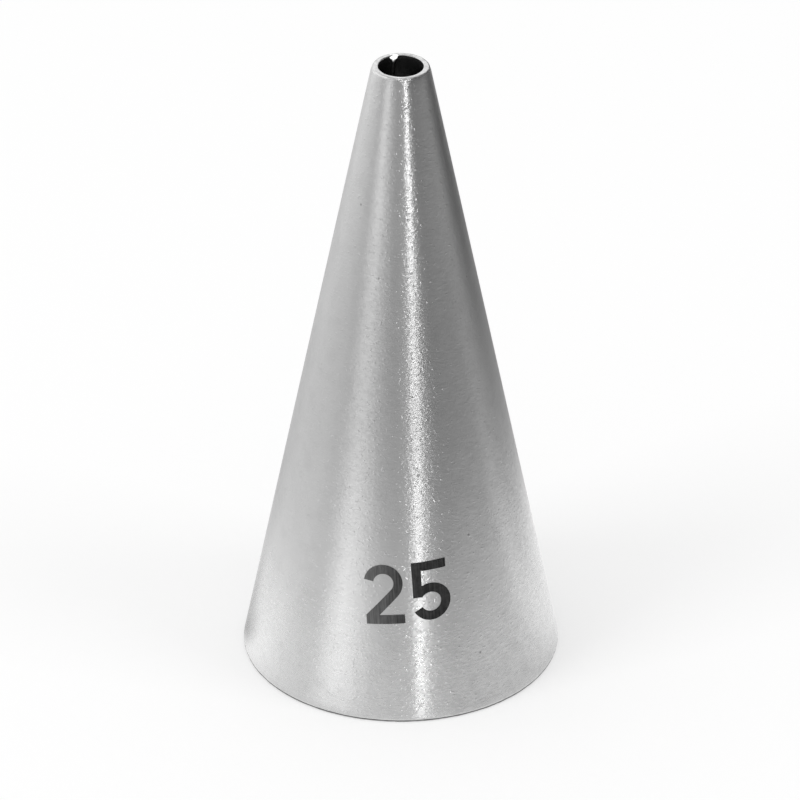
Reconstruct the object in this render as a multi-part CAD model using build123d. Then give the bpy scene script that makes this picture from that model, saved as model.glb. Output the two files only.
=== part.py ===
from build123d import *
import math
import os

# Round piping nozzle, in millimetres. +Z runs up the cone from the base rim to the tip.
# The origin is the centre of the base rim, and -Y is the side that carries the size mark.

# Cone
base_diameter = 25.0       # outside, at the cut edge that the icing enters by
height = 51.5
opening_diameter = 3.4     # the sized hole at the tip
lip_width = 0.52           # ring of metal round that hole
land_length = 0.6          # straight part of the hole, left by the reamer
wall = 0.5                 # sheet at the base, measured along the base plane
lip_round = 0.3
lip_inner_round = 0.1
base_round = 0.12
base_inner_round = 0.1

# Weld that closes the rolled sheet
weld_width = 0.7           # of the fused strip, through the wall
bead_width = 0.38          # of the low round bead on the strip's inner side
bead_height = 0.11         # how far the bead stands into the cone
weld_angle = 109.0         # degrees from +X: at the back, a little to the left

# Size mark: the base diameter in whole millimetres, as plain figures
mark_centre_height = 10.6
mark_side_offset = 0.5     # to the right of the front line
mark_tilt = 4.0            # degrees, as the marking head left it
mark_thickness = 0.03      # the dark layer that the laser leaves on the sheet
figure_height = 4.8
figure_width = 3.0
figure_gap = 0.6
stroke = 0.72
two_bowl_start = 168.0     # degrees, where the pen starts on the bowl of the 2
five_bowl_end = -152.0
five_stem_inset = 0.14     # how far the stem of the 5 stands in from its bowl's left side
five_bar_inset = 0.22      # how far the bar of the 5 ends short of its bowl's right side

# Cutting tools run this far past what they cut
overrun = 1.0

base_radius = base_diameter / 2
opening_radius = opening_diameter / 2
tip_radius = opening_radius + lip_width
land_start = height - land_length
pen_radius = (figure_width - stroke) / 2    # of a bowl, along the middle of the stroke
pen_top = (figure_height - stroke) / 2      # middle of the highest stroke, from the figure's centre


def outer_radius(z):
    """Radius of the cone's outside at height z."""
    return base_radius + (tip_radius - base_radius) * z / height


def turned(corners, roundings):
    """Closed outline of (radius, height) corners, rounded at some of them and turned about the Z axis."""
    section = make_face(Polyline(*corners, close=True))
    for corner, radius in roundings:
        nearest = section.vertices().sort_by_distance(corner)[0]
        section = fillet(nearest, radius)
    upright = Rot(0, 0, weld_angle) * (Plane.XZ * section)
    return revolve(upright, axis=Axis.Z)


def closed_cone():
    """The whole wall. It thickens towards the tip, where forming squeezes the sheet."""
    outer_base = (base_radius, 0)
    outer_tip = (tip_radius, height)
    inner_tip = (opening_radius, height)
    land_corner = (opening_radius, land_start)
    inner_base = (base_radius - wall, 0)
    return turned(
        [outer_base, outer_tip, inner_tip, land_corner, inner_base],
        [
            (outer_base, base_round),
            (outer_tip, lip_round),
            (inner_tip, lip_inner_round),
            (inner_base, base_inner_round),
        ],
    )


def weld_slab():
    """Upright slab from the axis outwards that holds everything the weld melted."""
    slab = Box(
        base_radius + overrun,
        weld_width,
        height + 2 * overrun,
        align=(Align.MIN, Align.CENTER, Align.MIN),
    )
    return Rot(0, 0, weld_angle) * Pos(0, 0, -overrun) * slab


def weld_bead():
    """Straight rod along the inside of the wall. All but a low strip of its round side is sunk in the wall."""
    bead_radius = (bead_width**2 / 4 + bead_height**2) / (2 * bead_height)
    inner_base = Vector(base_radius - wall, 0, 0)
    inner_top = Vector(opening_radius, 0, land_start)
    along = (inner_top - inner_base).normalized()
    outwards = Vector(along.Z, 0, -along.X)
    start = inner_base + outwards * (bead_radius - bead_height) - along * overrun
    length = (inner_top - inner_base).length + land_length + 2 * overrun
    rod = Plane(origin=start, z_dir=along) * Cylinder(
        bead_radius,
        length,
        align=(Align.CENTER, Align.CENTER, Align.MIN),
    )
    return Rot(0, 0, weld_angle) * rod


def seam_weld():
    """Everything the weld melted: a strip of the wall, ground flush outside, with its bead inside."""
    outer_base = (base_radius, 0)
    outer_tip = (tip_radius, height)
    filled_cone = turned(
        [outer_base, outer_tip, (0, height), (0, 0)],
        [(outer_base, base_round), (outer_tip, lip_round)],
    )
    return (closed_cone() + weld_bead()) & weld_slab() & filled_cone


def beyond(point, distance, angle):
    """The point that lies a distance away from another, in a direction given in radians."""
    return (point[0] + distance * math.cos(angle), point[1] + distance * math.sin(angle))


def bar(start, end):
    """Straight pen stroke with square ends."""
    angle = math.degrees(math.atan2(end[1] - start[1], end[0] - start[0]))
    middle = ((start[0] + end[0]) / 2, (start[1] + end[1]) / 2)
    return Pos(*middle) * Rot(0, 0, angle) * Rectangle(math.dist(start, end), stroke)


def bowl(centre, start_angle, end_angle):
    """Curved pen stroke: part of a ring, with square ends."""
    sweep = end_angle - start_angle
    outside = CenterArc(centre, pen_radius + stroke / 2, start_angle, sweep)
    inside = CenterArc(centre, pen_radius - stroke / 2, start_angle, sweep)
    return make_face([outside, inside, Line(outside @ 0, inside @ 0), Line(outside @ 1, inside @ 1)])


def figure_two():
    """A bowl, a slanting stroke that leaves it on its tangent and ends at the foot's corner, and a foot."""
    centre = (0, pen_top - pen_radius)
    corner = (-figure_width / 2, stroke / 2 - pen_top)
    towards_corner = math.atan2(corner[1] - centre[1], corner[0] - centre[0])
    leave = towards_corner + math.acos((pen_radius - stroke / 2) / math.dist(centre, corner))
    slant = bar(beyond(centre, pen_radius, leave), beyond(corner, stroke / 2, leave))
    foot = bar((-figure_width / 2, -pen_top), (figure_width / 2, -pen_top))
    return bowl(centre, two_bowl_start, math.degrees(leave)) + slant + foot


def figure_five():
    """A bar, a stem whose foot stands on the bowl's inner edge, and a bowl."""
    centre = (0, pen_radius - pen_top)
    stem_x = five_stem_inset - pen_radius
    foot_x = stem_x + stroke / 2
    start = math.acos(foot_x / (pen_radius - stroke / 2))
    foot = beyond(centre, pen_radius - stroke / 2, start)
    stem = bar((stem_x, figure_height / 2), (stem_x, foot[1]))
    top_bar = bar((stem_x - stroke / 2, pen_top), (figure_width / 2 - five_bar_inset, pen_top))
    return bowl(centre, math.degrees(start), five_bowl_end) + stem + top_bar


def size_mark():
    """The two figures, one solid each, laid on the front of the cone as a thin layer."""
    reach = figure_height + figure_width + figure_gap
    low = mark_centre_height - reach
    high = mark_centre_height + reach
    layer = turned(
        [
            (outer_radius(low), low),
            (outer_radius(low) + mark_thickness, low),
            (outer_radius(high) + mark_thickness, high),
            (outer_radius(high), high),
        ],
        [],
    )
    facing_front = Pos(mark_side_offset, 0, mark_centre_height) * Rot(0, -mark_tilt, 0) * Rot(90, 0, 0)
    pitch = figure_width + figure_gap
    solids = []
    for figure, side in [(figure_two(), -1), (figure_five(), 1)]:
        drawn = facing_front * Pos(side * pitch / 2, 0) * figure
        prism = extrude(drawn, amount=base_radius + overrun, dir=(0, -1, 0))
        solids += (prism & layer).solids()
    return Compound(children=solids)


nodes = {
    "nozzle_cone": closed_cone() - weld_slab(),
    "seam_weld": seam_weld(),
    "size_mark": size_mark(),
}

os.makedirs("parts", exist_ok=True)
for name, shape in nodes.items():
    export_step(shape, f"parts/{name}.step")
    print(name, len(shape.solids()), "solid(s),", round(shape.volume, 3), "mm3")
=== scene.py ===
# %% [markdown]
# A piping nozzle is the plain metal cone that sits in the end of an icing bag. This one is a flat piece of
# stainless sheet, rolled until its two edges meet, welded along that one seam, brushed on a lathe and marked
# with its size by a laser. The CAD solids carry the sizes, and Blender adds what the eye looks for: the
# brushing, the polished lip, the weld and the wear.

# %% Load the CAD frame
import math
import bpy
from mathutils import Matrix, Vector


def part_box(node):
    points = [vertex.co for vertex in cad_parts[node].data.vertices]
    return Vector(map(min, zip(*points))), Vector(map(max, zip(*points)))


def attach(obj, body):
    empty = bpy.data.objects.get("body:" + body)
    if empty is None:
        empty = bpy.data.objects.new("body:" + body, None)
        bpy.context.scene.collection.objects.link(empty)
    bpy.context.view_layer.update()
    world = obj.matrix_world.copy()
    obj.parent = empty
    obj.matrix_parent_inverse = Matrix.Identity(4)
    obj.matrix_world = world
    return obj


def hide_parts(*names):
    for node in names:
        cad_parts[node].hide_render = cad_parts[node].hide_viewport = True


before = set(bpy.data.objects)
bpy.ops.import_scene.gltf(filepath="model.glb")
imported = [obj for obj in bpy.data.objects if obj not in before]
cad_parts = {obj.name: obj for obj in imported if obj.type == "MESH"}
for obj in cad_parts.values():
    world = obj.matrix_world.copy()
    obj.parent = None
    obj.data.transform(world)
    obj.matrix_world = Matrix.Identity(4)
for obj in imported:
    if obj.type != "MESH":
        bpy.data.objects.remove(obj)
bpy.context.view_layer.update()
MM = 0.001
cone_low, cone_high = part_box("nozzle_cone")
print("nodes:", sorted(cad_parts))
print("cone, mm:", [round(c / MM, 3) for c in cone_low], [round(c / MM, 3) for c in cone_high])

# %% [markdown]
# The camera first, so that each later cell can be looked at through it. The photograph was taken from
# above the base at about 31 degrees and from far enough away that the cone's sides look straight. A long
# lens does that: it stands 0.58 m off and sees a little over 6 cm. The numbers come from fitting the
# outline of a cone to the outline in the photograph.

# %% Camera
CAMERA_RISE = math.radians(31.07)
CAMERA_DISTANCE = 578.75 * MM
LOOKED_AT = Vector((0, 0, 21.85 * MM))
LENS_MM = 334.2
SENSOR_MM = 36
SIDE_SHIFT = -0.001
NEAREST_SEEN = 0.01

to_camera = Vector((0, -math.cos(CAMERA_RISE), math.sin(CAMERA_RISE)))
bpy.ops.object.camera_add(
    location=LOOKED_AT + to_camera * CAMERA_DISTANCE,
    rotation=(math.pi / 2 - CAMERA_RISE, 0, 0),
)
camera = bpy.context.object
camera.name = "camera"
camera.data.lens = LENS_MM
camera.data.sensor_width = SENSOR_MM
camera.data.shift_x = SIDE_SHIFT
camera.data.clip_start = NEAREST_SEEN
bpy.context.scene.camera = camera
bpy.context.scene.view_settings.view_transform = "Standard"
print("camera at", [round(c, 4) for c in camera.location])

# %% [markdown]
# A material is a small program, and it is easier to read as one. `Signal` wraps one socket, so that an
# expression such as `1 - mask` adds its own Math nodes. `Tree.node` makes any other node from its type,
# its settings and the values or signals that go into its sockets, and the methods below it are short
# names for the nodes that come back often.

# %% Shader arithmetic
class Signal:
    """A number, vector or shader on its way through a material."""

    def __init__(self, tree, socket):
        self.tree = tree
        self.socket = socket

    def math(self, operation, *others):
        sockets = dict(enumerate((self,) + others))
        return self.tree.node("ShaderNodeMath", {"operation": operation}, sockets)

    def __add__(self, other):
        return self.math("ADD", other)

    def __radd__(self, other):
        return self.math("ADD", other)

    def __mul__(self, other):
        return self.math("MULTIPLY", other)

    def __rmul__(self, other):
        return self.math("MULTIPLY", other)

    def __sub__(self, other):
        return self.math("SUBTRACT", other)

    def __rsub__(self, other):
        return self.tree.node("ShaderNodeMath", {"operation": "SUBTRACT"}, {0: other, 1: self})

    def over(self, low, high):
        """0 below low and 1 above high, with a soft step between them."""
        settings = {"interpolation_type": "SMOOTHSTEP"}
        sockets = {"Value": self, "From Min": low, "From Max": high}
        return self.tree.node("ShaderNodeMapRange", settings, sockets)


class Tree:
    """The nodes of one material, or of the world."""

    def __init__(self, owner):
        owner.use_nodes = True
        self.owner = owner
        self.nodes = owner.node_tree.nodes
        self.links = owner.node_tree.links
        self.nodes.clear()

    def node(self, kind, settings=None, sockets=None, output=0):
        made = self.nodes.new(kind)
        for name, value in (settings or {}).items():
            if name == "stops":
                self.fill_ramp(made.color_ramp, value)
            else:
                setattr(made, name, value)
        for name, value in (sockets or {}).items():
            if isinstance(value, Signal):
                self.links.new(value.socket, made.inputs[name])
            else:
                made.inputs[name].default_value = value
        return Signal(self, made.outputs[output]) if len(made.outputs) else None

    @staticmethod
    def fill_ramp(ramp, stops):
        while len(ramp.elements) < len(stops):
            ramp.elements.new(1.0)
        for element, (position, grey) in zip(ramp.elements, stops):
            element.position = position
            element.color = (grey, grey, grey, 1)

    def place(self):
        """The place on the object, in metres."""
        return self.node("ShaderNodeTexCoord", output="Object")

    def part(self, vector, axis):
        """The X, Y or Z part of a vector."""
        return self.node("ShaderNodeSeparateXYZ", None, {0: vector}, axis)

    def vector(self, operation, *values, output=0):
        sockets = dict(enumerate(values))
        return self.node("ShaderNodeVectorMath", {"operation": operation}, sockets, output)

    def glow(self, strength):
        """White light that doesn't depend on any lamp."""
        return self.node("ShaderNodeEmission", None, {"Color": (1, 1, 1, 1), "Strength": strength})

    def mix(self, factor, first, second):
        """The first shader where the factor is 0, and the second where it is 1."""
        return self.node("ShaderNodeMixShader", None, {0: factor, 1: first, 2: second})

    def surface(self, shader):
        """Ends the material in this shader and gives the material back."""
        self.node("ShaderNodeOutputMaterial", None, {"Surface": shader})
        return self.owner


print("shader helpers ready")

# %% [markdown]
# The photograph's background is pure white. A world of strength 1 looks just that to the camera, but it
# would flood the metal with light from all round. So the world asks what kind of ray has met it: white for
# the camera, weaker as light, and weaker still in a reflection.

# %% White world
WORLD_LIGHT = 0.75
LESS_IN_METAL = 0.25


def seen_directly(tree):
    """1 for rays from the camera and through glass, 0 for all others."""
    camera_ray = tree.node("ShaderNodeLightPath", output="Is Camera Ray")
    glass_ray = tree.node("ShaderNodeLightPath", output="Is Transmission Ray")
    return camera_ray.math("MAXIMUM", glass_ray)


def seen_in_metal(tree):
    """1 for rays that a glossy surface has sent on, 0 for all others."""
    return tree.node("ShaderNodeLightPath", output="Is Glossy Ray")


world = bpy.data.worlds.new("white_tent")
bpy.context.scene.world = world
sky = Tree(world)
sky_strength = WORLD_LIGHT + seen_directly(sky) * (1 - WORLD_LIGHT) - seen_in_metal(sky) * LESS_IN_METAL
sky_light = sky.node("ShaderNodeBackground", None, {"Color": (1, 1, 1, 1), "Strength": sky_strength})
sky.node("ShaderNodeOutputWorld", None, {"Surface": sky_light})
print("world light:", WORLD_LIGHT)

# %% [markdown]
# The floor is a pale matt sheet that keeps the soft shadow of the nozzle. A matt surface alone comes out
# grey, so it also shines, but only for what the camera sees: the white costs no extra light on the object.
# Far out it fades into the white world, and no horizon shows.

# %% Pale floor, as the camera sees it
FLOOR_SIDE = 6.0
FLOOR_DROP = 0.00002
FLOOR_GREY = 0.55
FLOOR_SHINE = 0.46
FADES_FROM = 0.25
FADED_AT = 0.9

bpy.ops.mesh.primitive_plane_add(size=FLOOR_SIDE, location=(0, 0, -FLOOR_DROP))
floor = bpy.context.object
floor.name = "floor"

matt_white = Tree(bpy.data.materials.new("matt_white_floor"))
floor_place = matt_white.place()
floor_reach = matt_white.vector("LENGTH", floor_place, output="Value")
matt = matt_white.node("ShaderNodeBsdfDiffuse", None, {"Color": (FLOOR_GREY, FLOOR_GREY, FLOOR_GREY, 1)})
shine = matt_white.glow(seen_directly(matt_white) * FLOOR_SHINE)
near_floor = matt_white.node("ShaderNodeAddShader", None, {0: matt, 1: shine})
far_out = floor_reach.over(FADES_FROM, FADED_AT) * seen_directly(matt_white)
floor_seen = matt_white.mix(far_out, near_floor, matt_white.glow(1.0))
print("floor:", floor.dimensions.x, "m wide")

# %% [markdown]
# Metal sees the same floor in another way. The wall leans back by 11 degrees, so from above it mirrors the
# floor and not the room: its middle mirrors the floor ahead, its edges the floor beside and behind. What
# lies on the floor therefore shapes the cone's shading. For metal the floor is a glow of painted light,
# which no lamp makes: bright close to the nozzle and dimmer further out. Each named term below paints one
# patch of light or shade into that glow, and its comment says where that patch shows on the cone.
# Lengths are in metres from the nozzle's axis.

# %% The floor as the metal sees it
floor_right = matt_white.part(floor_place, "X")
floor_behind = matt_white.part(floor_place, "Y")
floor_front = floor_behind * -1
floor_back = (floor_behind - floor_right.over(0.0, 0.008) * 0.005).over(-0.012, 0.0)

# the painted glow falls off further out, and sooner behind the nozzle
back_reach = floor_reach - floor_right.over(-0.01, 0.01) * 0.018
fall_ahead = floor_reach.over(0.020, 0.085) * (1 - floor_back)
fall_behind = back_reach.over(0.022, 0.052) * floor_back
far_fall = fall_ahead + fall_behind

# beside and behind the foot: the two pale edges of the cone, up to a third of its height
on_right = floor_right.over(0.004, 0.016)
right_back = on_right * floor_behind.over(0.008, 0.026)
floor_sides = floor_right.math("ABSOLUTE").over(0.004, 0.016) * 0.26 + right_back * 0.24 - on_right * 0.06
near_sides = floor_sides * floor_back * (1 - floor_reach.over(0.054, 0.072)) * 1.25

# a wedge ahead on the left: the pale band left of the figures
off_front_left = (floor_right.math("ARCTAN2", floor_front) + math.radians(36)).math("ABSOLUTE")
front_left = (1 - off_front_left.over(0.10, 0.42)) * floor_reach.over(0.012, 0.026)

# further out on both sides: the two halves of the cone at mid height
far_right = floor_right.over(0.030, 0.070) * (1 - floor_behind.over(0.0, 0.035))
ahead_left = (1 - floor_right.over(-0.020, 0.005)) * (1 - floor_behind.over(-0.045, -0.02))
far_left = ahead_left * floor_reach.over(0.052, 0.090)

# a painted shadow, a dark strip on the floor behind on the left: the dark notch at the foot of the cone's
# left edge
off_lane = (floor_right - floor_front * 0.25 + 0.0137).math("ABSOLUTE")
lane_ends = (1 - floor_front.over(-0.002, 0.002)) * floor_front.over(-0.045, -0.025)
painted_shadow_lane = (1 - off_lane.over(0.0008, 0.0030)) * lane_ends

# a painted shadow of the nozzle, close ahead of the rim
painted_shadow_ahead = (1 - floor_reach.over(0.0135, 0.025)) * (1 - floor_back)

# painted light and shade: the glow that metal mirrors in the floor
mirrored = 1.02 + near_sides + front_left * 0.25 - far_fall * 0.88 + far_right * 0.62 + far_left * 0.26
mirrored = mirrored * (1 - painted_shadow_lane * 0.6) * (1 - painted_shadow_ahead * 0.16)
floor_surface = matt_white.mix(seen_in_metal(matt_white), floor_seen, matt_white.glow(mirrored))
floor.data.materials.append(matt_white.surface(floor_surface))
print("floor material:", len(matt_white.nodes), "nodes")

# %% [markdown]
# Two softboxes light the floor and stay out of the reflections. The bright line down the cone is the image
# of a strip lamp, a little to the right of the camera. The brushing smears that image up and down but
# hardly sideways. In the photograph the line drifts to the right towards the tip, so the strip leans to
# the right, and a second strip, higher and further to the right, brightens the line's upper end. The
# overhead lamp is there for one thing only: the slanting facet of the nick in the far rim mirrors it.

# %% Lamps
STRIP_AWAY = 0.10
STRIP_LEAN = math.radians(10)
SOFTBOX_AWAY = 0.9
SOFTBOX_SIDE = 0.5
OVERHEAD_SIDE = 0.10


def bearing(degrees):
    """The direction from the nozzle to a thing that stands at this bearing, right of the camera."""
    turn = math.radians(degrees)
    return Vector((math.sin(turn), -math.cos(turn), 0))


def add_lamp(name, degrees, distance, height, aim_height, width, tall, watts):
    """A rectangular lamp that the camera doesn't see, turned to a point on the nozzle's axis."""
    place = bearing(degrees) * distance + Vector((0, 0, height))
    aim = (Vector((0, 0, aim_height)) - place).to_track_quat("-Z", "Y")
    bpy.ops.object.light_add(type="AREA", location=place, rotation=aim.to_euler())
    lamp = bpy.context.object
    lamp.name = name
    lamp.data.shape = "RECTANGLE"
    lamp.data.size = width
    lamp.data.size_y = tall
    lamp.data.energy = watts
    lamp.visible_camera = False
    return lamp


for name, degrees, watts in (("left_softbox", -60, 3.4), ("right_softbox", 70, 2.2)):
    softbox = add_lamp(name, degrees, SOFTBOX_AWAY, SOFTBOX_AWAY, 0.02, SOFTBOX_SIDE, SOFTBOX_SIDE, watts)
    softbox.visible_glossy = False

strip_lamp = add_lamp("strip", 25.4, STRIP_AWAY, 0.142, 0.142, 0.0069, 0.280, 0.0274)
strip_lamp.rotation_euler.rotate_axis("Z", -STRIP_LEAN)
upper_strip = add_lamp("upper_strip", 17.6, STRIP_AWAY, 0.160, 0.160, 0.0090, 0.240, 0.0082)
overhead = add_lamp("overhead", 0, 0.0, 0.40, 0.0, OVERHEAD_SIDE, OVERHEAD_SIDE, 0.050)
for lamp in (strip_lamp, upper_strip, overhead):
    lamp.visible_diffuse = False

# %% [markdown]
# Metal shows its surroundings, so lighting a metal cone means placing things for it to reflect. A product
# photographer stands it inside a tent of paper. Here the paper is no lamp and no lamp lights it: it glows
# by itself, and its greys are painted light. Because the brushing smears each reflection up and down, every
# upright panel of the tent becomes one soft band down the cone's whole side, and `PANELS` can list the
# tent's greys by bearing alone. Two things change with height as well. Both front quarters are painted
# darker upwards, as the cone is, and a pale panel high up at the back is what the flat top of the lip
# mirrors. The tent is a circle extruded upwards, and only reflections see it.

# %% The paper tent
TENT_RADIUS = 0.11
TENT_HEIGHT = 0.30
TENT_SIDES = 96
BRIGHTEST = 1.6
# bearing in degrees right of the camera: brightness
PANELS = {
    -180: 0.35,
    -160: 0.80,
    -120: 1.25,
    -80: 0.97,
    -65: 0.71,
    -45: 1.52,
    -25: 0.68,
    -8: 0.47,
    18: 0.47,
    38: 0.19,
    58: 0.23,
    80: 0.22,
    100: 0.29,
    128: 0.06,
    150: 0.07,
    165: 0.14,
    180: 0.35,
}

bpy.ops.mesh.primitive_circle_add(vertices=TENT_SIDES, radius=TENT_RADIUS, location=(0, 0, 0))
tent = bpy.context.object
tent.name = "paper_tent"
bpy.ops.object.mode_set(mode="EDIT")
bpy.ops.mesh.select_all(action="SELECT")
bpy.ops.mesh.extrude_region_move(TRANSFORM_OT_translate={"value": (0, 0, TENT_HEIGHT)})
bpy.ops.object.mode_set(mode="OBJECT")
for ray in ("camera", "diffuse", "shadow", "transmission"):
    setattr(tent, "visible_" + ray, False)

paper = Tree(bpy.data.materials.new("paper"))
paper_place = paper.place()
right = paper.part(paper_place, "X")
behind = paper.part(paper_place, "Y")
up = paper.part(paper_place, "Z")
turn = right.math("ARCTAN2", behind * -1) * (0.5 / math.pi) + 0.5
stops = [((degrees + 180) / 360, grey / BRIGHTEST) for degrees, grey in PANELS.items()]
panel = paper.node("ShaderNodeValToRGB", {"stops": stops}, {"Fac": turn})

# painted light and shade in the glow: both front quarters darker upwards, a pale panel high up at the back
left_front = (1 - right.over(-0.025, 0.0)) * (1 - behind.over(-0.06, -0.03))
right_front = right.over(0.04, 0.08) * (1 - behind.over(0.02, 0.05))
left_fade = left_front * (0.43 - up.over(0.0, 0.060) * 0.78)
right_fade = right_front * (0.2 - up.over(0.0, 0.08) * 0.5)
high_back = up.over(0.05, 0.08) * behind.over(0.065, 0.095)
high_grey = 1.10 - up.over(0.14, 0.20) * 0.50
all_round = panel * BRIGHTEST * (1 + left_fade + right_fade)
tent_light = paper.glow(all_round * (1 - high_back) + high_back * high_grey)
tent.data.materials.append(paper.surface(tent_light))
print("tent:", len(PANELS), "panels")

# %% [markdown]
# The steel needs a few patterns. All of them are noise on the object's own coordinates, in millimetres, so
# a mark is as long at the tip as at the base, as it is when the same abrasive makes it. `noise` gives
# blotches of a chosen width and height, `pits` a few scattered holes, and `relief` turns a height in
# millimetres into a tilt of the surface.

# %% Patterns for the steel
def noise(tree, place, stretch, detail=2.0, roughness=0.5):
    """Noise whose blotches measure `stretch` millimetres along x, y and z."""
    scaled = tree.vector("DIVIDE", place, tuple(stretch))
    sockets = {"Vector": scaled, "Scale": 1.0, "Detail": detail, "Roughness": roughness}
    return tree.node("ShaderNodeTexNoise", None, sockets, "Fac")


def millimetres(tree):
    """The place on the object, in millimetres."""
    return tree.vector("MULTIPLY", tree.place(), (1 / MM, 1 / MM, 1 / MM))


def grey_colour(tree, tone):
    return tree.node("ShaderNodeCombineColor", None, {0: tone, 1: tone, 2: tone})


def pits(tree, place, spacing, size):
    """1 inside a few scattered pits, `size` millimetres in radius, and 0 around them."""
    scaled = tree.vector("DIVIDE", place, (spacing, spacing, spacing))
    cells = tree.node("ShaderNodeTexVoronoi", None, {"Vector": scaled, "Scale": 1.0}, "Distance")
    return 1 - cells.over(size * 0.5 / spacing, size * 1.2 / spacing)


def relief(tree, height):
    """The surface's direction where it rises by this height, in millimetres."""
    sockets = {"Height": height, "Distance": MM, "Strength": 1.0}
    return tree.node("ShaderNodeBump", None, sockets, "Normal")


def metal(tree, sockets):
    """Ends a material in a Principled shader with these sockets."""
    return tree.surface(tree.node("ShaderNodeBsdfPrincipled", None, sockets))


print("patterns ready")

# %% [markdown]
# Brushed stainless steel is a mirror full of fine scratches that all run round the cone. Its gloss is
# anisotropic: sharp along the scratches and wide across them, which turns a lamp into a line. On top lies
# what the abrasive and use left. `scratch` draws the fine streaks, `grain` frays the edge of the bright
# line, `fleck` throws single bright dots beside it, `dash` varies the gloss in short streaks, and `pit`
# leaves a few dark specks. `cloud` and `smudge` are the wide soft stains. The gloss also changes with
# height: keenest at the base, dullest from the middle up, and a little keener again at the neck.
#
# The same recipe, with other numbers, makes the polished lip, the last puddle of the weld with its painted
# highlight, the dark cut edge with its painted shade, and the ground weld.

# %% Steel finishes
def steel(name, grey, roughness, anisotropy, lean=1.0, tone_depth=0.10):
    """Stainless steel with marks that run round the axis. `lean` scales how far they tilt the surface."""
    tree = Tree(bpy.data.materials.new(name))
    place = millimetres(tree)
    scratch = noise(tree, place, (0.50, 0.50, 0.06), 2.0, 0.6)
    grain = noise(tree, place, (0.30, 0.30, 0.22), 1.0)
    dash = noise(tree, place, (0.60, 0.60, 0.16), 1.0)
    fleck = noise(tree, place, (0.24, 0.24, 0.18), 0.0).over(0.63, 0.87)
    cloud = noise(tree, place, (2.0, 2.0, 5.0), 4.0)
    smudge = noise(tree, place, (1.3, 1.3, 1.6), 4.0, 0.6).over(0.48, 0.66)
    pit = pits(tree, place, 3.5, 0.12)

    height_mm = tree.part(place, "Z")
    low = 1 - height_mm.over(2.0, 9.0)
    middle = height_mm.over(4.0, 26.0)
    neck = height_mm.over(30.0, 44.0)

    stain = (cloud - 0.5) * 0.10 - smudge * (0.035 + low * 0.03)
    tone = grey * (1 + (scratch - 0.5) * tone_depth + stain) * (1 - pit * 0.45)
    duller = 1 + middle * 0.58 - neck * 0.22 + (dash - 0.5) * 0.45
    height = (scratch * 0.004 + grain * (0.0115 + middle * 0.0040) + fleck * 0.013) * lean - pit * 0.012
    sockets = {
        "Base Color": grey_colour(tree, tone),
        "Metallic": 1.0,
        "Roughness": roughness * duller + (cloud - 0.5) * 0.04,
        "Anisotropic": anisotropy,
        "Anisotropic Rotation": 0.25,
        "Tangent": tree.node("ShaderNodeTangent", {"direction_type": "RADIAL", "axis": "Z"}),
        "Normal": relief(tree, height),
    }
    return metal(tree, sockets)


brushed = steel("brushed_steel", 0.68, 0.270, 1.0)
polished = steel("polished_lip", 0.69, 0.20, 0.0, 0.9, 0.90)
# painted highlight: the puddle's steel is lighter than the lip's, so the nick shows white
puddle = steel("polished_puddle_painted_highlight", 0.78, 0.14, 0.0, 0.4, 0.04)
# painted shade: this dark finish also covers the foot of the outside, where the rim meets the floor
edge = steel("cut_edge_and_painted_shade", 0.15, 0.40, 0.0, 1.0, 0.60)
welded = steel("weld_steel", 0.60, 0.40, 0.8, 1.0, 0.20)
print("steel:", [m.name for m in (brushed, polished, puddle, edge, welded)])

# %% [markdown]
# Nobody brushes the inside. It keeps the grey skin that rolling and forming left, and it is painted darker
# towards the narrow end, as painted shade inside the hole.

# %% Inner wall finish
def inner_steel():
    """Dull steel with lines round the bore, painted darker towards the tip as shade in the hole."""
    tree = Tree(bpy.data.materials.new("inner_steel"))
    place = millimetres(tree)
    lines = noise(tree, place, (2.0, 2.0, 0.12), 3.0, 0.6)
    cloud = noise(tree, place, (2.5, 2.5, 4.0), 3.0)
    neck = tree.part(place, "Z").over(20.0, 46.0)
    # painted shade: the wall is darker towards the tip, inside the hole
    tone = (0.46 - neck * 0.36) * (1 + (lines - 0.5) * 0.30 + (cloud - 0.5) * 0.30)
    sockets = {
        "Base Color": grey_colour(tree, tone),
        "Metallic": 1.0,
        "Roughness": 0.40 + (cloud - 0.5) * 0.15 + neck * 0.10,
        "Normal": relief(tree, lines * 0.012 + cloud * 0.02),
    }
    return metal(tree, sockets)


inner = inner_steel()
print("inside:", inner.name)

# %% [markdown]
# The dark figures are no paint. A laser heats the steel in close parallel lines until an oxide layer
# grows, which is matt, nearly black, and faintly streaked by the lines. The lines run along the figures,
# which lean by 4 degrees, and the layer is painted paler on the left, as painted light where the figures
# catch more light.

# %% Laser mark finish
MARK_LEAN = math.radians(4)
DARKEST = 0.012


def laser_mark():
    """Dark oxide with the streaks of the laser's lines."""
    tree = Tree(bpy.data.materials.new("laser_mark"))
    place = millimetres(tree)
    leaning = tree.node("ShaderNodeMapping", None, {"Vector": place, "Rotation": (0, MARK_LEAN, 0)})
    hatch = noise(tree, leaning, (0.10, 4.0, 2.2), 2.0)
    burn = noise(tree, leaning, (0.5, 0.5, 0.5), 2.0)
    # painted light: the figures are paler to the left, where they catch more light
    painted_light_left = 1 - tree.part(place, "X").over(-2.5, 1.6)
    streak = (hatch - 0.5) * (0.09 + painted_light_left * 0.10)
    tone = 0.034 + painted_light_left * 0.095 + streak + (burn - 0.5) * 0.05
    sockets = {
        "Base Color": grey_colour(tree, tone.math("MAXIMUM", DARKEST)),
        "Metallic": 0.7,
        "Roughness": 0.42 + (hatch - 0.5) * 0.3,
        "Normal": relief(tree, hatch * 0.010),
    }
    return metal(tree, sockets)


size_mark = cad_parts["size_mark"]
size_mark.data.materials.clear()
size_mark.data.materials.append(laser_mark())
print("mark:", size_mark.data.materials[0].name)

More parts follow.
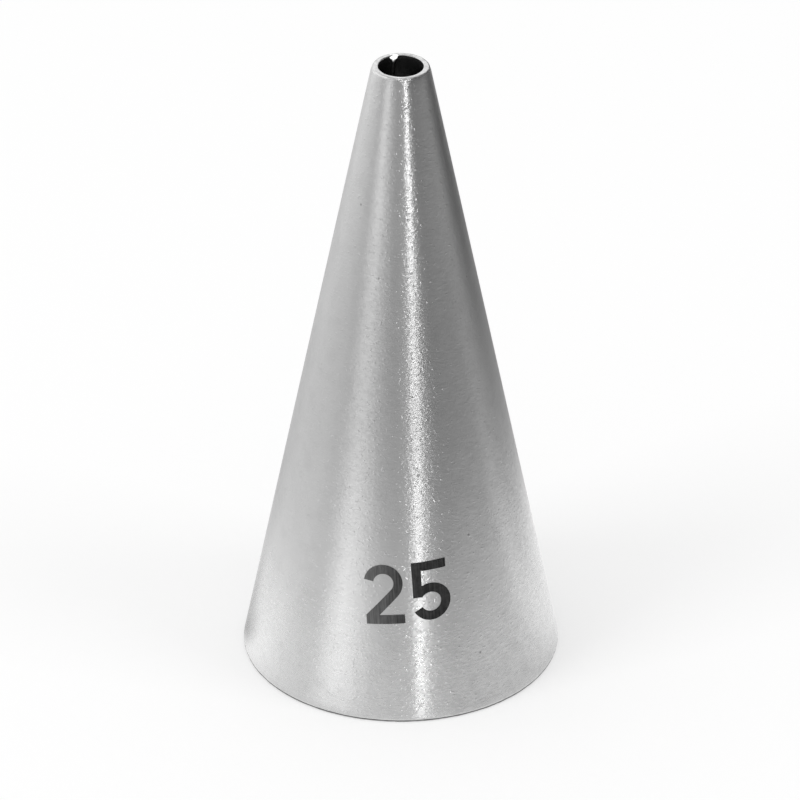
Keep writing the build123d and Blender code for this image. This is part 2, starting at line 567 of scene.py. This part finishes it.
# %% [markdown]
# The cone is turned up from one ring. A circle at the base rim is extruded ring by ring up the outside,
# over the lip, down through the hole and down the inside, and closed under the wall. The rings lie closest
# near the two ends, where the finish changes. The hole is straight for its last 0.6 mm, the land that the
# reamer leaves, so the inner wall has no rings above that.

# %% Turn the cone
BASE_RADIUS = 12.5
HEIGHT = 51.5
TIP_RADIUS = 2.22
HOLE_RADIUS = 1.7
WALL = 0.5
LAND = 0.6
RING_POINTS = 288
LOW_RINGS = [0.17, 0.27, 0.7, 1.2]
RING_STEP = 1.5
HIGH_RINGS = [49.6, 50.4, 51.0]


def outer_radius(z):
    return BASE_RADIUS + (TIP_RADIUS - BASE_RADIUS) * z / HEIGHT


def inner_radius(z):
    return BASE_RADIUS - WALL + (HOLE_RADIUS - BASE_RADIUS + WALL) * z / (HEIGHT - LAND)


def deselect_all():
    if bpy.context.object and bpy.context.object.mode == "EDIT":
        bpy.ops.object.mode_set(mode="OBJECT")
    bpy.ops.object.select_all(action="DESELECT")


def extrude_ring(rise, height, scale):
    """Extrudes the selected ring upwards to this height, in millimetres, and scales it there."""
    bpy.ops.mesh.extrude_region_move(TRANSFORM_OT_translate={"value": (0, 0, rise * MM)})
    bpy.ops.transform.resize(value=(scale, scale, 1), center_override=(0, 0, height * MM))


wall_heights = LOW_RINGS + [2.0 + RING_STEP * step for step in range(32)] + HIGH_RINGS
rings = [(outer_radius(z), z) for z in wall_heights]
rings += [(TIP_RADIUS, HEIGHT), (HOLE_RADIUS, HEIGHT), (HOLE_RADIUS, HEIGHT - LAND)]
rings += [(inner_radius(z), z) for z in reversed(wall_heights[:-2])]
rings += [(BASE_RADIUS - WALL, 0.0), (BASE_RADIUS, 0.0)]

deselect_all()
bpy.ops.mesh.primitive_circle_add(vertices=RING_POINTS, radius=BASE_RADIUS * MM, location=(0, 0, 0))
sheet = bpy.context.object
sheet.name = "nozzle_sheet"
bpy.ops.object.mode_set(mode="EDIT")
bpy.ops.mesh.select_all(action="SELECT")
radius_now, height_now = BASE_RADIUS, 0.0
for radius, height in rings:
    extrude_ring(height - height_now, height, radius / radius_now)
    radius_now, height_now = radius, height
bpy.ops.mesh.select_all(action="SELECT")
bpy.ops.mesh.remove_doubles(threshold=0.001 * MM)
bpy.ops.mesh.normals_make_consistent(inside=False)
bpy.ops.object.mode_set(mode="OBJECT")
print("turned:", len(sheet.data.vertices), "points", len(sheet.data.polygons), "faces")

# %% [markdown]
# The four corners of the wall are bevelled next, because a cut edge that has been tumbled or polished is
# round, and it is that small round that draws the bright line at the lip. The dark line at the base is
# partly that round and partly painted shade, from the dark finish that its lower part gets. A bevel's
# offset is measured along the faces, so each rounding is turned into an offset by the angle that the wall
# turns through at that corner.

# %% Round its four corners
BASE_ROUND = 0.12
LIP_ROUND = 0.30
HOLE_ROUND = 0.12
INNER_BASE_ROUND = 0.10
ROUND_STEPS = 6
CLOSE_TO = 0.01


def clear_selection(mesh):
    for item in (*mesh.vertices, *mesh.edges, *mesh.polygons):
        item.select = False


def select_edges(piece, wanted):
    """Selects the edges whose ends `wanted` says yes to, in millimetres, and goes to edit mode."""
    bpy.ops.object.mode_set(mode="OBJECT")
    mesh = piece.data
    clear_selection(mesh)
    chosen = [wanted(vertex.co / MM) for vertex in mesh.vertices]
    for one in mesh.edges:
        one.select = chosen[one.vertices[0]] and chosen[one.vertices[1]]
    bpy.ops.object.mode_set(mode="EDIT")
    bpy.ops.mesh.select_mode(type="EDGE")


def select_ring(piece, radius, height):
    """Selects the ring of edges at this radius and height, in millimetres."""
    def on_ring(co):
        return abs(math.hypot(co.x, co.y) - radius) < CLOSE_TO and abs(co.z - height) < CLOSE_TO

    select_edges(piece, on_ring)


def turn_angle(before, corner, after):
    first = Vector(corner) - Vector(before)
    second = Vector(after) - Vector(corner)
    return first.angle(second)


section = [
    (BASE_RADIUS - WALL, 0),
    (BASE_RADIUS, 0),
    (TIP_RADIUS, HEIGHT),
    (HOLE_RADIUS, HEIGHT),
    (HOLE_RADIUS, HEIGHT - LAND),
]
corners = [
    (section[0], section[1], section[2], BASE_ROUND),
    (section[1], section[2], section[3], LIP_ROUND),
    (section[2], section[3], section[4], HOLE_ROUND),
    (section[4], section[0], section[1], INNER_BASE_ROUND),
]
for before, corner, after, rounding in corners:
    select_ring(sheet, *corner)
    offset = rounding * math.tan(turn_angle(before, corner, after) / 2)
    bpy.ops.mesh.bevel(offset=offset * MM, segments=ROUND_STEPS, profile=0.5, affect="EDGES")
bpy.ops.object.mode_set(mode="OBJECT")
bpy.ops.object.shade_smooth_by_angle(angle=math.radians(50))
print("rounded:", len(sheet.data.polygons), "faces")

# %% [markdown]
# A lip that is finished by hand is never quite true. A Displace modifier with a cloud texture sinks the
# lip's points by a few hundredths of a millimetre, and another roughens the cut edge at the base, so that
# their bright lines wander as they do on the real nozzle. The points only sink, so the nozzle stays inside
# its true size. Both modifiers are applied, so the shape is in the mesh.

# %% Wander the lip and the base edge
LIP_DEPTH = 0.35
LIP_BLOTCH = 0.9
LIP_SINKS = 0.06
BASE_EDGE_HEIGHT = 0.2
BASE_BLOTCH = 0.35
BASE_SINKS = 0.05


def wander(piece, name, chosen, size, depth):
    """Sinks the chosen points by up to `depth`, in blotches of `size` millimetres."""
    group = piece.vertex_groups.new(name=name)
    group.add([v.index for v in piece.data.vertices if chosen(v.co / MM)], 1.0, "REPLACE")
    clouds = bpy.data.textures.new(name, "CLOUDS")
    clouds.noise_scale = size * MM
    clouds.noise_depth = 1
    push = piece.modifiers.new(name, "DISPLACE")
    push.texture = clouds
    push.texture_coords = "LOCAL"
    push.vertex_group = name
    push.strength = depth * MM
    push.mid_level = 1.0
    bpy.context.view_layer.objects.active = piece
    bpy.ops.object.modifier_apply(modifier=name)


wander(sheet, "lip", lambda co: co.z > HEIGHT - LIP_DEPTH, LIP_BLOTCH, LIP_SINKS)
wander(sheet, "base_edge", lambda co: co.z < BASE_EDGE_HEIGHT, BASE_BLOTCH, BASE_SINKS)
print("lip now reaches", round(max(v.co.z for v in sheet.data.vertices) / MM, 3), "mm")

# %% [markdown]
# Weld metal joins the sheet's two edges. Two cuts, each 0.35 mm from the seam's middle, mark out the strip
# that the weld melted. It is then parted from the sheet as a piece of its own, and both pieces are closed
# along the cuts. Ground flush, the strip shows outside only as a slightly duller line.

# %% Part the weld strip from the sheet
SEAM_BEARING = math.radians(109.0)
WELD_WIDTH = 0.7
# the faces that the two cuts go through lie within this distance of the seam's middle
CUT_REACH = 1.0
# a bisect takes points this close to its plane as cut, and its own 0.1 mm is too coarse here
CUT_SNAP = 0.0001 * MM
seam_out = Vector((math.cos(SEAM_BEARING), math.sin(SEAM_BEARING), 0))
seam_side = Vector((-math.sin(SEAM_BEARING), math.cos(SEAM_BEARING), 0))


def select_by_seam(piece, reach):
    """Selects the faces within this distance of the seam's middle, and goes to edit mode."""
    bpy.ops.object.mode_set(mode="OBJECT")
    clear_selection(piece.data)
    for polygon in piece.data.polygons:
        aside = abs(polygon.center.dot(seam_side)) / MM
        polygon.select = polygon.center.dot(seam_out) > 0 and aside < reach
    bpy.ops.object.mode_set(mode="EDIT")
    bpy.ops.mesh.select_mode(type="FACE")


def close_cuts(piece):
    """Fills the two flat openings that the cuts left."""
    mesh = piece.data
    for side in (-1, 1):
        bpy.ops.object.mode_set(mode="EDIT")
        bpy.ops.mesh.select_mode(type="EDGE")
        bpy.ops.mesh.select_all(action="DESELECT")
        bpy.ops.mesh.select_non_manifold(
            extend=False, use_wire=False, use_multi_face=False, use_non_contiguous=False, use_verts=False
        )
        bpy.ops.object.mode_set(mode="OBJECT")
        opening = []
        for one in mesh.edges:
            ends = [mesh.vertices[i].co for i in one.vertices]
            opening.append(one.select and min(end.dot(seam_side) * side for end in ends) >= 0)
        clear_selection(mesh)
        for one, chosen in zip(mesh.edges, opening):
            one.select = chosen
        bpy.ops.object.mode_set(mode="EDIT")
        bpy.ops.mesh.edge_face_add()
    bpy.ops.object.mode_set(mode="OBJECT")


for side in (-1, 1):
    select_by_seam(sheet, CUT_REACH)
    bpy.ops.mesh.bisect(
        plane_co=seam_side * side * WELD_WIDTH / 2 * MM, plane_no=seam_side, threshold=CUT_SNAP
    )
select_by_seam(sheet, WELD_WIDTH / 2)
bpy.ops.mesh.separate(type="SELECTED")
bpy.ops.object.mode_set(mode="OBJECT")
strip = [o for o in bpy.context.selected_objects if o is not sheet][0]
strip.name = "weld_strip"
for piece in (sheet, strip):
    deselect_all()
    piece.select_set(True)
    bpy.context.view_layer.objects.active = piece
    close_cuts(piece)
    bpy.ops.object.shade_smooth_by_angle(angle=math.radians(50))
print("strip:", len(strip.data.polygons), "faces; sheet:", len(sheet.data.polygons), "faces")

# %% [markdown]
# Each face gets the finish of its place. The outside is brushed, the top of the lip and a thin band above
# the base edge are polished, and the inside is dull. The cut edge under the base is dark, and the same dark
# finish covers the lowest 0.16 mm of the outside as painted shade, where the rim meets the floor. The two
# flat faces where sheet and weld meet, which are the only ones with many corners, are dark too.

# %% Give the sheet its finishes
OUTSIDE, LIP, INSIDE, CUT = range(4)
LIP_BAND = 0.22
PAINTED_SHADE_BAND = 0.16
INNER_EDGE_BAND = 0.09
POLISHED_BAND = 0.27
MANY_CORNERS = 20


def place_of(polygon):
    """The finish that belongs to this face's place."""
    centre = polygon.center / MM
    outward = polygon.normal.dot(Vector((centre.x, centre.y, 0))) > 0
    in_cut = abs(polygon.normal.dot(seam_side)) > 0.999 and len(polygon.vertices) > MANY_CORNERS
    if centre.z > HEIGHT - LIP_BAND and polygon.normal.z > (0.45 if outward else 0.15):
        return LIP
    # painted shade: the dark cut-edge finish reaches a little way up the outside, where the rim meets the
    # floor
    if in_cut or centre.z < (PAINTED_SHADE_BAND if outward else INNER_EDGE_BAND):
        return CUT
    if centre.z < POLISHED_BAND and outward:
        return LIP
    return OUTSIDE if outward else INSIDE


def finish_faces(piece, finishes):
    for finish in finishes:
        piece.data.materials.append(finish)
    for polygon in piece.data.polygons:
        polygon.material_index = place_of(polygon)


finish_faces(sheet, [brushed, polished, inner, edge])
finish_faces(strip, [welded, polished, inner, edge])
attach(sheet, "root")
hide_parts("nozzle_cone")
print("sheet finishes:", [m.name for m in sheet.data.materials])

# %% [markdown]
# Inside, the weld is left as it froze: a low round bead with a ripple at each puddle. One ripple is
# modelled by extruding a circle and swelling it, and an Array modifier repeats it into a row as long as the
# inner wall. Above the row the last puddle swells until it stands over the lip. The bead is made upright
# on the axis, where circles are easy to scale.

# %% Lay the bead
BEAD_RADIUS = 0.219
BEAD_POINTS = 20
RIPPLES = 118
ROW_ENDS_SHORT = 0.03
RIPPLE_SWELLS = (1.01, 1.03, 1.0, 0.96)
MERGE_WITHIN = 0.002 * MM
# how far each ring of the last puddle rises, in mm, and its size as a share of the bead's
PUDDLE = (
    (0.04, 1.0),
    (0.08, 1.08),
    (0.08, 1.18),
    (0.08, 1.3),
    (0.08, 1.4),
    (0.10, 1.46),
    (0.40, 1.46),
)

inner_slope = Vector((HOLE_RADIUS - (BASE_RADIUS - WALL), 0, HEIGHT - LAND))
ripple = (inner_slope.length - ROW_ENDS_SHORT) / RIPPLES
row_length = ripple * RIPPLES
rest_swell = RIPPLE_SWELLS[-1]
deselect_all()
bpy.ops.mesh.primitive_circle_add(
    vertices=BEAD_POINTS, radius=BEAD_RADIUS * rest_swell * MM, location=(0, 0, 0)
)
bead = bpy.context.object
bead.name = "bead"
bpy.ops.object.mode_set(mode="EDIT")
bpy.ops.mesh.select_all(action="SELECT")
rise = ripple / len(RIPPLE_SWELLS)
swell_now = rest_swell
for step, swell in enumerate(RIPPLE_SWELLS):
    extrude_ring(rise, rise * (step + 1), swell / swell_now)
    swell_now = swell
bpy.ops.object.mode_set(mode="OBJECT")
row = bead.modifiers.new("row", "ARRAY")
row.count = RIPPLES
row.use_relative_offset = False
row.use_constant_offset = True
row.constant_offset_displace = (0, 0, ripple * MM)
row.use_merge_vertices = True
row.merge_threshold = MERGE_WITHIN
bpy.ops.object.modifier_apply(modifier="row")

select_edges(bead, lambda co: abs(co.z - row_length) < CLOSE_TO)
top, swell_now = row_length, rest_swell
for rise, swell in PUDDLE:
    top += rise
    extrude_ring(rise, top, swell / swell_now)
    swell_now = swell
bpy.ops.mesh.edge_face_add()
select_edges(bead, lambda co: abs(co.z) < CLOSE_TO)
bpy.ops.mesh.edge_face_add()
bpy.ops.mesh.select_all(action="SELECT")
bpy.ops.mesh.normals_make_consistent(inside=False)
bpy.ops.object.mode_set(mode="OBJECT")
bpy.ops.object.shade_smooth_by_angle(angle=math.radians(60))
print("bead:", len(bead.data.polygons), "faces,", round(top, 2), "mm long")

# %% [markdown]
# The row is turned to the wall's slope and moved to the seam, where all but a low strip of its round side
# is sunk in the wall. At the lip the puddle ran over the edge of the hole. It is cut off level with the
# lip, and then at a slant down into the hole. The slant mirrors the overhead lamp and shows as the bright
# nick in the far rim.

# %% Lean the bead on the wall and cut its top
BEAD_DEPTH = 0.11
BEAD_LIFT = 0.06
NICK_SLANT = math.radians(31)
NICK_INSET = 0.11
NICK_DROP = 0.01

lean = math.atan2(-inner_slope.x, inner_slope.z)
centre_line = BASE_RADIUS - WALL + BEAD_RADIUS - BEAD_DEPTH
bpy.ops.object.mode_set(mode="EDIT")
bpy.ops.mesh.select_all(action="SELECT")
bpy.ops.transform.rotate(value=lean, orient_axis="Y", center_override=(0, 0, 0))
bpy.ops.transform.translate(value=(centre_line * MM, 0, BEAD_LIFT * MM))
bpy.ops.transform.rotate(value=-SEAM_BEARING, orient_axis="Z", center_override=(0, 0, 0))
bpy.ops.object.mode_set(mode="OBJECT")

facing_hole = Vector((0, -math.sin(NICK_SLANT), math.cos(NICK_SLANT)))
hole_edge = seam_out * (HOLE_RADIUS + NICK_INSET) * MM + Vector((0, 0, (HEIGHT - NICK_DROP) * MM))
for normal in (Vector((0, 0, 1)), facing_hole):
    bpy.ops.object.mode_set(mode="EDIT")
    bpy.ops.mesh.select_all(action="SELECT")
    bpy.ops.mesh.bisect(
        plane_co=hole_edge, plane_no=normal, use_fill=True, clear_outer=True, threshold=CUT_SNAP
    )
bpy.ops.mesh.select_all(action="SELECT")
bpy.ops.mesh.normals_make_consistent(inside=False)
bpy.ops.object.mode_set(mode="OBJECT")
bpy.ops.object.shade_smooth_by_angle(angle=math.radians(28))
low = [min(v.co[i] for v in bead.data.vertices) / MM for i in range(3)]
high = [max(v.co[i] for v in bead.data.vertices) / MM for i in range(3)]
print("bead box, mm:", [round(c, 2) for c in low], [round(c, 2) for c in high])

# %% [markdown]
# Strip and bead are one piece of weld metal, so they are joined into one object. The puddle at the top is
# polished, where it was rubbed together with the lip, and painted lighter than the lip as a highlight. The
# rest of the bead is as dull as the inside.

# %% Join the bead to the strip
PUDDLE_DEPTH = 0.45

bead.data.materials.append(puddle)
bead.data.materials.append(inner)
for polygon in bead.data.polygons:
    polygon.material_index = 0 if polygon.center.z > (HEIGHT - PUDDLE_DEPTH) * MM else 1
deselect_all()
bead.select_set(True)
strip.select_set(True)
bpy.context.view_layer.objects.active = strip
bpy.ops.object.join()
strip.name = "seam_weld_dressed"
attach(strip, "root")
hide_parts("seam_weld")
print("weld:", len(strip.data.polygons), "faces,", [m.name for m in strip.data.materials])
